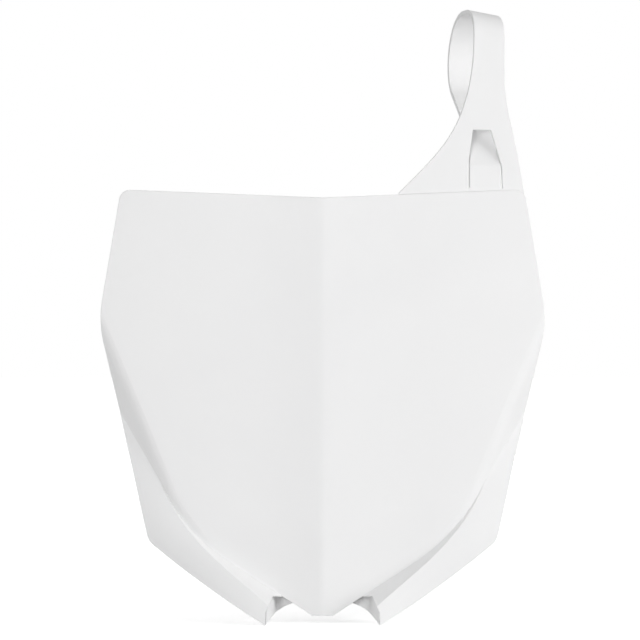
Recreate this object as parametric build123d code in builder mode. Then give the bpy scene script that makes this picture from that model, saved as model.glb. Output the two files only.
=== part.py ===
"""Front number board of a motocross bike: one moulding whose strap hooks on its own catch.

Millimetres. X is to the right as seen from the front, Y runs to the back and Z is up.
The board is shaped with the ridge of its face at X = Y = 0 and heights from the wing tips,
and is then placed with its frame at the bolt hole in the rear shelf.
"""

import os
from math import acos, asin, atan2, cos, degrees, radians, sin, tan

from build123d import *

# Walls and roundings
wall = 2.5
strap_wall = 2.2
crease_radius = 9.0

# Face: two halves that fall away from a ridge, flatten and bow back, curled back at the bottom
ridge_rake = 10.0
ridge_radius = 12.0
flat_rake = 4.0
flat_reach = 45.0
face_bow_radius = 900.0
curl_height = 60.0
curl_radius = 190.0
curl_turn = 25.0

# Outline seen from the front
board_width = 240.0
widest_height = 162.0
widest_radius = 60.0
top_width = 217.6
top_height = 233.4
top_dip = 4.9
top_corner_radius = 6.0
lower_width = 188.0
lower_height = 43.8
lower_corner_radius = 9.0
lower_edge_bow = 1.6
tip_spread = 61.0

# Lower tip of the face and the gap on each side of it
tip_height = 3.8
tip_flat = 11.2
fold_height = 6.5
fold_rise = 8.1
fold_lean = 3.7
gap_width = 5.5
gap_drop = 0.5

# Raised pad of the face, drawn at the depth of the ridge and drafted outwards to the back
pad_corner_inset = 23.3
pad_corner_height = 65.0
pad_side_lean = 19.7
pad_lower_lean = 36.5
pad_corner_radius = 60.0
pad_draft = 45.0

# Wings: the height, place across and depth of the inner edge at each station, with the place
# across taken from the tip at the low stations and from the widest point at the high ones
wing_low_stations = [(-12.0, -16.0, -11.0), (25.0, 16.0, 1.4)]
wing_high_stations = [(55.0, -44.0, 7.9), (100.0, -24.5, 16.3), (176.0, 2.5, 18.5), (250.0, 28.0, 20.0)]
wing_rake = 10.0
wing_bow_radius = 130.0
wing_bow_turn = 18.0
wing_flank_lean = 50.0

# Web and bolt shelf behind the tip
web_depth = 18.0
web_arm_out = 0.4
web_arm_depth = -5.0
web_arm_lean = 15.8
web_corner_radius = 5.0
arch_rise = 12.0
arch_shoulder_inset = 7.5
arch_shoulder_rise = 6.6
shelf_height = 25.0
shelf_thickness = 3.0
shelf_end_radius = 11.0
bolt_depth = 36.0
bolt_hole = 6.5

# Ear behind the right end of the top edge: places from the catch, heights from the top corners
catch_x = 86.1
ear_step = 1.9
ear_root_drop = 18.0
ear_foot_drop = 2.0
ear_foot_lean = 45.0
ear_reach = 45.0
ear_waist_reach = 17.6
ear_waist_rise = 28.5
ear_neck_rise = 60.0
ear_shoulder_reach = 17.7
ear_shoulder_rise = 27.0
ear_side_inset = 0.3

# Strap: its step back above the ear and the loop that it makes round the bar
strap_offset = 4.3
strap_width = 16.6
strap_tilt = 10.4
strap_drift = 7.2
strap_step = 1.2
strap_step_rise = 38.0
strap_step_length = 18.0
loop_rise = 97.5
loop_front_radius = 15.0
loop_flat = 6.8
loop_back_radius = 29.5
loop_low_radius = 20.0

# Window in the ear and the spring catch in it
window_top_rise = 32.0
window_bend_rise = 13.0
window_root_rise = 0.5
window_top_width = 9.8
window_left_reach = 7.5
window_right_reach = 10.8
window_right_flare = 0.6
catch_gap = 0.5
catch_left_slit = 0.9
catch_free_rise = 19.0
catch_wall = 2.0
catch_root = 6.0
catch_set_back = 11.0
catch_over_window = 3.5
catch_bend_radius = 3.0
hook_reach = 8.7
hook_drop = 9.0
hook_radius = 2.4

# Slotted strap end, held in the hook, and the free tail below it
strap_end_depth = 14.6
strap_end_rise = 27.5
strap_tail_radius = 6.0
strap_tail_rise = 1.0
strap_slot_length = 9.0
slot_clearance = 0.8
strap_clearance = 1.0

# Room that the shaping solids take up around the board
core_depth = 110.0
core_margin = 80.0
core_reach = board_width / 2 + core_margin
core_top = 250.0
through = 130.0
crease_depth = 27.0
corner_band = 1.0

# Body behind the face: half of its section, mirrored, carried down and curled back
ridge_way = (cos(radians(ridge_rake)), sin(radians(ridge_rake)))
hollow_radius = flat_reach / (ridge_way[1] - sin(radians(flat_rake)))


def face_angle(x):
    """Angle of the face's bowed part at a distance x from the ridge, in radians."""
    return asin(sin(radians(flat_rake)) + (x - flat_reach) / face_bow_radius)


with BuildPart() as face_core:
    with BuildSketch(Plane.XY.offset(core_top)) as face_section:
        with BuildLine():
            hollow = JernArc((0, 0), ridge_way, hollow_radius, flat_rake - ridge_rake)
            bow_turn = degrees(face_angle(core_reach)) - flat_rake
            bow = JernArc(hollow @ 1, hollow % 1, face_bow_radius, bow_turn)
            Polyline(bow @ 1, (core_reach, core_depth), (0, core_depth))
            mirror(about=Plane.YZ)
        make_face()
        fillet(face_section.vertices().sort_by(Axis.Y)[0], ridge_radius)
    with BuildLine(Plane.YZ) as face_path:
        down = Line((0, core_top), (0, curl_height))
        JernArc(down @ 1, down % 1, curl_radius, curl_turn)
    sweep(sections=face_section.sketch, path=face_path.line)

# Drafted sides of the pad
with BuildPart() as pad:
    with BuildSketch(Plane.XZ) as pad_outline:
        with BuildLine():
            pad_corner_x = lower_width / 2 - pad_corner_inset
            pad_rise = core_top + core_depth - pad_corner_height
            pad_fall = pad_corner_x / tan(radians(pad_lower_lean))
            Polyline(
                (0, pad_corner_height - pad_fall),
                (pad_corner_x, pad_corner_height),
                (pad_corner_x + pad_rise * tan(radians(pad_side_lean)), pad_corner_height + pad_rise),
                (0, pad_corner_height + pad_rise),
            )
            mirror(about=Plane.YZ)
        make_face()
        at_corner = pad_corner_height - corner_band, pad_corner_height + corner_band
        fillet(pad_outline.vertices().filter_by_position(Axis.Y, *at_corner), pad_corner_radius)
    extrude(amount=-through, taper=-pad_draft)

# Right wing: everything behind its bowed front and inner flank, carried through the stations
tip_x = tip_spread / 2
low_stations = [(height, tip_x + x, depth) for height, x, depth in wing_low_stations]
high_stations = [(height, board_width / 2 + x, depth) for height, x, depth in wing_high_stations]
wing_way = (cos(radians(wing_rake)), sin(radians(wing_rake)))

with BuildPart() as wing:
    for height, inner_x, inner_depth in low_stations + high_stations:
        with BuildSketch(Plane.XY.offset(height)):
            with BuildLine():
                front = JernArc((inner_x, inner_depth), wing_way, wing_bow_radius, wing_bow_turn)
                edge_rise = (core_reach - (front @ 1).X) * tan(radians(wing_rake + wing_bow_turn))
                flank_reach = (core_depth - inner_depth) * tan(radians(wing_flank_lean))
                Polyline(
                    front @ 1,
                    (core_reach, (front @ 1).Y + edge_rise),
                    (core_reach, core_depth),
                    (inner_x - flank_reach, core_depth),
                    front @ 0,
                )
            make_face()
    loft()

# Everything behind the front skin: the pad with its crease rounded, and both wings
with BuildPart() as body:
    add(face_core.part)
    add(pad.part, mode=Mode.INTERSECT)
    creases = body.edges().filter_by(GeomType.BSPLINE)
    fillet(creases.filter_by_position(Axis.Y, 0, crease_depth), crease_radius)
    add(wing.part)
    add(wing.part.mirror(Plane.YZ))

# Front outline, with the gaps on both sides of the face's lower tip
upper_lean = atan2((board_width - top_width) / 2, top_height - widest_height)
lower_lean = atan2((board_width - lower_width) / 2, widest_height - lower_height)
widest_x = board_width / 2 + widest_radius * (1 / cos((upper_lean + lower_lean) / 2) - 1)
lower_corner = (lower_width / 2, lower_height)
fold_top_x = tip_x - fold_lean
fold_top_height = fold_height + fold_rise

with BuildPart() as outline:
    with BuildSketch(Plane.XZ) as outline_sketch:
        with BuildLine():
            Polyline(
                (0, top_height - top_dip),
                (top_width / 2, top_height),
                (widest_x, widest_height),
                lower_corner,
            )
            SagittaArc(lower_corner, (tip_x, 0), lower_edge_bow)
            Polyline(
                (tip_x, 0),
                (tip_x, fold_height),
                (fold_top_x, fold_top_height),
                (fold_top_x - gap_width, fold_top_height - gap_drop),
                (tip_flat / 2, tip_height),
                (0, tip_height),
            )
            mirror(about=Plane.YZ)
        make_face()
        for height, radius in (
            (top_height, top_corner_radius),
            (widest_height, widest_radius),
            (lower_height, lower_corner_radius),
        ):
            at_height = height - corner_band, height + corner_band
            fillet(outline_sketch.vertices().filter_by_position(Axis.Y, *at_height), radius)
    extrude(amount=through, both=True)

# Moulded wall of the face and wings
with BuildPart() as shell:
    add(body.part)
    add(body.part.moved(Location((0, wall, 0))), mode=Mode.SUBTRACT)
    add(outline.part, mode=Mode.INTERSECT)

# Pocket under the tip, seen from above: the web and its arms stand round it
arm_slope = tan(radians(web_arm_lean))
arm_x = tip_x + web_arm_out
web_half_width = arm_x - (web_depth - web_arm_depth) * arm_slope

with BuildSketch(Plane.XY) as pocket:
    with BuildLine():
        front_x = arm_x + (web_arm_depth + core_depth) * arm_slope
        Polyline((0, -core_depth), (front_x, -core_depth), (web_half_width, web_depth), (0, web_depth))
        mirror(about=Plane.YZ)
    make_face()
    fillet(pocket.vertices().group_by(Axis.Y)[-1], web_corner_radius)

# Web, cut to an arch below, and the bolt shelf over it, both ending inside the front wall
with BuildPart() as bracket:
    with BuildSketch(Plane.XY.offset(shelf_height - through)):
        add(pocket.sketch)
        offset(amount=wall)
        add(pocket.sketch, mode=Mode.SUBTRACT)
    extrude(amount=through)
    with BuildSketch(Plane.XZ):
        with BuildLine():
            shoulder_x = tip_x - arch_shoulder_inset
            arch = Spline(
                (tip_x, 0),
                (shoulder_x, arch_shoulder_rise),
                (0, arch_rise),
                (-shoulder_x, arch_shoulder_rise),
                (-tip_x, 0),
            )
            SagittaArc(lower_corner, arch @ 0, lower_edge_bow)
            left_edge = SagittaArc(arch @ 1, (-lower_width / 2, lower_height), lower_edge_bow)
            Polyline(left_edge @ 1, (-lower_width / 2, -through), (lower_width / 2, -through), lower_corner)
        make_face()
    extrude(amount=through, both=True, mode=Mode.SUBTRACT)
    with BuildSketch(Plane.XY.offset(shelf_height - shelf_thickness / 2)):
        with Locations((0, (web_depth + wall) / 2)):
            Rectangle(2 * web_half_width, web_depth + wall)
        with Locations((0, bolt_depth)):
            Circle(shelf_end_radius)
        make_hull()
    extrude(amount=shelf_thickness)
    add(body.part.moved(Location((0, wall / 2, 0))), mode=Mode.INTERSECT)
    with Locations((0, bolt_depth, shelf_height)):
        Hole(bolt_hole / 2)

# Frame of the ear: on the face at the catch, set back by the step below the top edge
catch_slope = face_angle(catch_x)
across = Vector(cos(catch_slope), sin(catch_slope), 0)
backward = Vector(-sin(catch_slope), cos(catch_slope), 0)
flat_depth = hollow_radius * (cos(radians(flat_rake)) - ridge_way[0])
catch_depth = flat_depth + face_bow_radius * (cos(radians(flat_rake)) - cos(catch_slope))
ear_origin = Vector(catch_x, catch_depth, top_height) + backward * ear_step
ear_plane = Plane(ear_origin, x_dir=across, z_dir=-backward)
side_plane = Plane(ear_origin, x_dir=backward, z_dir=across)

window_lean = (window_right_reach - window_top_width / 2) / (window_top_rise - window_bend_rise)
catch_free_x = window_right_reach - (catch_free_rise - window_bend_rise) * window_lean - catch_gap
slot_depth = catch_set_back + hook_reach - catch_wall - slot_clearance + strap_slot_length / 2
drift_slope = tan(radians(strap_drift))
hook_x = strap_offset - slot_depth * drift_slope
hook_half = catch_free_x - strap_offset
strap_left = strap_offset - strap_width / 2
strap_right = strap_offset + strap_width / 2
strap_way = across * cos(radians(strap_tilt)) - Vector(0, 0, sin(radians(strap_tilt)))
strap_split = strap_step + strap_wall + strap_clearance
loop_turn_rise = loop_rise - loop_front_radius
root_x = top_width / 2 + ear_root_drop * tan(upper_lean) - ear_side_inset
root_right = (root_x - catch_x) / cos(catch_slope)

# Front outline of the ear and front leg, and the width of the strap behind them
with BuildPart() as strap_trim:
    with BuildSketch(ear_plane.offset(-strap_split)):
        with BuildLine():
            Polyline(
                (strap_left, loop_turn_rise),
                (strap_left, loop_rise + through),
                (strap_right, loop_rise + through),
                (strap_right, ear_neck_rise),
            )
            Spline(
                (strap_right, ear_neck_rise),
                (ear_shoulder_reach, ear_shoulder_rise),
                (root_right, -ear_root_drop),
                tangents=[(0, -1), (sin(upper_lean), -cos(upper_lean))],
            )
            Polyline(
                (root_right, -ear_root_drop),
                (-ear_reach, -ear_root_drop),
                (-ear_reach, -ear_foot_drop),
            )
            Spline(
                (-ear_reach, -ear_foot_drop),
                (-ear_waist_reach, ear_waist_rise),
                (strap_left, loop_turn_rise),
                tangents=[(cos(radians(ear_foot_lean)), sin(radians(ear_foot_lean))), (0, 1)],
            )
        make_face()
    extrude(amount=through)
    with BuildSketch(ear_plane.offset(-strap_split)):
        with Locations((strap_offset, loop_rise)):
            Rectangle(strap_width, 2 * through)
    extrude(amount=through, dir=backward - across * drift_slope)

# Ear and strap: one bent wall, cut to those outlines, with the window and the strap's slot
with BuildPart() as strap:
    with BuildSketch(side_plane) as strap_section:
        with BuildLine():
            ear_line = Line((0, -ear_root_drop - through), (0, strap_step_rise))
            step_turn = 2 * degrees(atan2(strap_step, strap_step_length))
            step_radius = strap_step_length / 2 / sin(radians(step_turn))
            step_back = JernArc(ear_line @ 1, ear_line % 1, step_radius, -step_turn)
            step_up = JernArc(step_back @ 1, step_back % 1, step_radius, step_turn)
            leg = Line(step_up @ 1, (strap_step, loop_turn_rise))
            front_turn = JernArc(leg @ 1, leg % 1, loop_front_radius, -90)
            flat = Line(front_turn @ 1, front_turn @ 1 + Vector(loop_flat, 0))
            back_turn = JernArc(flat @ 1, flat % 1, loop_back_radius, -90)
            strap_end = Vector(strap_end_depth, strap_end_rise)
            from_centre = strap_end - (back_turn @ 1 - Vector(loop_low_radius, 0))
            leave = atan2(from_centre.Y, from_centre.X) + acos(loop_low_radius / from_centre.length)
            low_turn = JernArc(back_turn @ 1, back_turn % 1, loop_low_radius, degrees(leave))
            slotted = Line(low_turn @ 1, strap_end)
            tail_turn = degrees(acos(-(slotted % 1).Y))
            tail_bend = JernArc(slotted @ 1, slotted % 1, strap_tail_radius, tail_turn)
            Line(tail_bend @ 1, ((tail_bend @ 1).X, strap_tail_rise))
            offset(amount=strap_wall, side=Side.RIGHT)
        make_face()
    extrude(amount=board_width, dir=strap_way)
    extrude(strap_section.sketch, amount=board_width, dir=-strap_way)
    add(strap_trim.part, mode=Mode.INTERSECT)
    with BuildSketch(ear_plane):
        with BuildLine():
            Polyline(
                (-window_top_width / 2, window_top_rise),
                (window_top_width / 2, window_top_rise),
                (window_right_reach, window_bend_rise),
                (window_right_reach + window_right_flare, window_root_rise),
                (-window_left_reach, window_root_rise),
                (-window_left_reach, window_bend_rise),
                close=True,
            )
        make_face()
    extrude(amount=strap_split, both=True, mode=Mode.SUBTRACT)
    slot_centre = across * hook_x + backward * slot_depth + Vector(0, 0, strap_end_rise)
    with BuildSketch(Plane(ear_origin + slot_centre, x_dir=across)):
        Rectangle(2 * (hook_half + slot_clearance), strap_slot_length)
    extrude(amount=2 * strap_slot_length, both=True, mode=Mode.SUBTRACT)

# Spring catch: a tongue rooted below the window, leaning back to a hook that points down
with BuildPart() as catch:
    with BuildSketch(side_plane):
        with BuildLine():
            catch_top = window_top_rise + catch_over_window
            FilletPolyline(
                (0, window_root_rise - catch_root),
                (0, window_bend_rise),
                (catch_set_back, catch_top),
                (catch_set_back + hook_reach, catch_top),
                (catch_set_back + hook_reach, catch_top - hook_drop),
                radius=[catch_bend_radius, hook_radius, hook_radius],
            )
            offset(amount=catch_wall, side=Side.RIGHT)
        make_face()
    extrude(amount=board_width, both=True)
    with BuildSketch(ear_plane):
        with BuildLine():
            catch_left = catch_left_slit - window_left_reach
            catch_right = window_right_reach - catch_gap
            catch_shoulder = catch_gap - window_top_width / 2
            Polyline(
                (catch_left, window_root_rise - catch_root),
                (catch_left, window_bend_rise),
                (catch_shoulder, window_top_rise),
                (catch_shoulder, window_top_rise + catch_gap),
                (hook_x - hook_half, window_top_rise + catch_gap),
                (hook_x - hook_half, loop_rise),
                (hook_x + hook_half, loop_rise),
                (hook_x + hook_half, window_top_rise + catch_gap),
                (catch_free_x, window_top_rise + catch_gap),
                (catch_free_x, catch_free_rise),
                (catch_right, window_bend_rise),
                (catch_right, window_root_rise - catch_root),
                close=True,
            )
        make_face()
    extrude(amount=through, both=True, mode=Mode.INTERSECT)

# The whole moulding, with its frame at the bolt hole
with BuildPart() as number_board:
    with Locations((0, -bolt_depth, -shelf_height)):
        add(shell.part)
        add(bracket.part)
        add(strap.part)
        add(catch.part)

os.makedirs("parts", exist_ok=True)
number_board.part.label = "number_board"
export_step(number_board.part, "parts/number_board.step")
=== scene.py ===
"""Looks of the number board: white moulded plastic on a white floor under soft studio light."""

from math import radians

import bpy
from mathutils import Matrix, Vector


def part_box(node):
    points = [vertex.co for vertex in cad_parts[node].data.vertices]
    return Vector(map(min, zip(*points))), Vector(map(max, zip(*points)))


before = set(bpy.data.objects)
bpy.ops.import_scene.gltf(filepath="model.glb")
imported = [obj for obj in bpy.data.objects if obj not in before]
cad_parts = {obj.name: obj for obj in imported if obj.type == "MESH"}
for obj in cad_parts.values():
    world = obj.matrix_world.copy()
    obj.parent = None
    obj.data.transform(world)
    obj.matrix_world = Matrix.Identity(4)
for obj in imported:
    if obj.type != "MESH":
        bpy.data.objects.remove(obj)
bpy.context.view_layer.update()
scene = bpy.context.scene
scene.view_settings.view_transform = "Standard"
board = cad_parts["number_board"]

# Plastic
clouded_white = (0.842, 0.842, 0.845, 1)
clear_white = (0.868, 0.868, 0.868, 1)
roughness_range = (0.40, 0.52)
edge_radius = 0.0007
grain_depth = 0.0001

# Floor: how much of its white the camera sees as its own glow, near the board and away from it;
# this glow is painted light, weaker near the board so its shadow shows and stronger away from it
floor_size = 12
floor_white = (0.85, 0.85, 0.85, 1)
near_radius, near_glow = 0.03, 0.55
far_radius, far_glow = 0.25, 0.9

# Surround: white to the camera, and as light stronger in front of the board than behind it
front_light = 0.37
back_light = 0.18
blend = 0.3

# Camera, at the photograph's viewing angle
camera_place = (-0.00136, -1.461, 0.138)
focal_length = 149.9
sensor_width = 36


def node_tree(owner):
    """Empties an owner's shader and returns a maker of nodes and a linker."""
    owner.use_nodes = True
    tree = owner.node_tree
    tree.nodes.clear()

    def make(kind, inputs=None, **settings):
        node = tree.nodes.new(kind)
        for name, value in settings.items():
            setattr(node, name, value)
        for name, value in (inputs or {}).items():
            node.inputs[name].default_value = value
        return node

    return make, tree.links.new


def background_ray(make, link):
    """Is 1 on rays that show the background: seen, mirrored or through something clear."""
    path = make("ShaderNodeLightPath")
    found = path.outputs["Is Camera Ray"]
    for kind in ("Is Glossy Ray", "Is Transmission Ray"):
        either = make("ShaderNodeMath", operation="MAXIMUM")
        link(found, either.inputs[0])
        link(path.outputs[kind], either.inputs[1])
        found = either.outputs[0]
    return found


def moulded_plastic():
    """White polypropylene: faint flow marks, a fine mould grain and softened edges."""
    material = bpy.data.materials.new("moulded_white_plastic")
    make, link = node_tree(material)
    shader = make("ShaderNodeBsdfPrincipled", {"IOR": 1.49, "Specular IOR Level": 0.35})
    link(shader.outputs["BSDF"], make("ShaderNodeOutputMaterial").inputs["Surface"])
    place = make("ShaderNodeTexCoord").outputs["Object"]

    flow = make("ShaderNodeTexNoise", {"Scale": 9.0, "Detail": 3.0, "Distortion": 0.6})
    link(place, flow.inputs["Vector"])
    tint = make("ShaderNodeValToRGB")
    dim, bright = tint.color_ramp.elements
    dim.position, dim.color = 0.3, clouded_white
    bright.position, bright.color = 0.7, clear_white
    link(flow.outputs["Fac"], tint.inputs["Fac"])
    link(tint.outputs["Color"], shader.inputs["Base Color"])

    smooth, rough = roughness_range
    sheen = make("ShaderNodeMapRange", {"To Min": smooth, "To Max": rough})
    link(flow.outputs["Fac"], sheen.inputs["Value"])
    link(sheen.outputs["Result"], shader.inputs["Roughness"])

    grain = make("ShaderNodeTexNoise", {"Scale": 2600.0, "Detail": 2.0})
    link(place, grain.inputs["Vector"])
    bevel = make("ShaderNodeBevel", {"Radius": edge_radius}, samples=6)
    bump = make("ShaderNodeBump", {"Strength": 0.06, "Distance": grain_depth})
    link(grain.outputs["Fac"], bump.inputs["Height"])
    link(bevel.outputs["Normal"], bump.inputs["Normal"])
    link(bump.outputs["Normal"], shader.inputs["Normal"])
    return material


def white_floor():
    """White floor that keeps the object's shadow near the board: the camera alone sees it glow, a
    painted light that is weaker by the board and stronger away from it.
    """
    material = bpy.data.materials.new("studio_floor")
    make, link = node_tree(material)
    matt = make("ShaderNodeBsdfDiffuse", {"Color": floor_white})
    away = make("ShaderNodeVectorMath", operation="LENGTH")
    link(make("ShaderNodeNewGeometry").outputs["Position"], away.inputs[0])
    # painted light: the camera-only glow grows from near_glow by the board to far_glow away from
    # it, hiding the lamps' fall-off and far shadow
    fade = make(
        "ShaderNodeMapRange",
        {"From Min": near_radius, "From Max": far_radius, "To Min": near_glow, "To Max": far_glow},
        interpolation_type="SMOOTHSTEP",
    )
    link(away.outputs["Value"], fade.inputs["Value"])
    share = make("ShaderNodeMath", operation="MULTIPLY")
    link(background_ray(make, link), share.inputs[0])
    link(fade.outputs["Result"], share.inputs[1])
    glow = make("ShaderNodeEmission")
    link(share.outputs[0], glow.inputs["Strength"])
    both = make("ShaderNodeAddShader")
    link(matt.outputs[0], both.inputs[0])
    link(glow.outputs[0], both.inputs[1])
    link(both.outputs[0], make("ShaderNodeOutputMaterial").inputs["Surface"])
    return material


def white_surround():
    """World that is plain white to look at and a soft light from the front."""
    world = bpy.data.worlds.new("studio")
    make, link = node_tree(world)
    heading = make("ShaderNodeSeparateXYZ")
    link(make("ShaderNodeTexCoord").outputs["Generated"], heading.inputs[0])
    light = make(
        "ShaderNodeMapRange",
        {"From Min": -blend, "From Max": blend, "To Min": front_light, "To Max": back_light},
        interpolation_type="SMOOTHSTEP",
    )
    link(heading.outputs["Y"], light.inputs["Value"])
    level = make("ShaderNodeMapRange", {"To Max": 1.0})
    link(background_ray(make, link), level.inputs["Value"])
    link(light.outputs["Result"], level.inputs["To Min"])
    surround = make("ShaderNodeBackground", {"Color": (1, 1, 1, 1)})
    link(level.outputs["Result"], surround.inputs["Strength"])
    link(surround.outputs[0], make("ShaderNodeOutputWorld").inputs["Surface"])
    return world


def softbox(name, place, aim, size, power):
    """Square area lamp aimed at a point."""
    lamp = bpy.data.lights.new(name, "AREA")
    lamp.size = size
    lamp.energy = power
    holder = bpy.data.objects.new(name, lamp)
    holder.location = place
    holder.rotation_euler = (Vector(aim) - Vector(place)).to_track_quat("-Z", "Y").to_euler()
    scene.collection.objects.link(holder)


plastic = moulded_plastic()
for slot in board.material_slots:
    slot.material = plastic

floor_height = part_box("number_board")[0][2]
bpy.ops.mesh.primitive_plane_add(size=floor_size, location=(0, 0, floor_height))
floor = bpy.context.object
floor.name = "floor"
floor.data.materials.append(white_floor())

scene.world = white_surround()
middle = (0, -0.03, 0.13)
softbox("right", (1.63, -0.76, 0.12), middle, size=0.9, power=21.5)
softbox("left", (-0.55, -1.71, 0.12), middle, size=0.9, power=17.3)
softbox("rear", (0.45, 1.73, 0.2), middle, size=0.4, power=13)
softbox("top", (0, -0.1, 1.8), middle, size=1.1, power=3)

lens = bpy.data.cameras.new("camera")
lens.lens = focal_length
lens.sensor_width = sensor_width
camera = bpy.data.objects.new("camera", lens)
camera.location = camera_place
camera.rotation_euler = (radians(90), 0, 0)
scene.collection.objects.link(camera)
scene.camera = camera
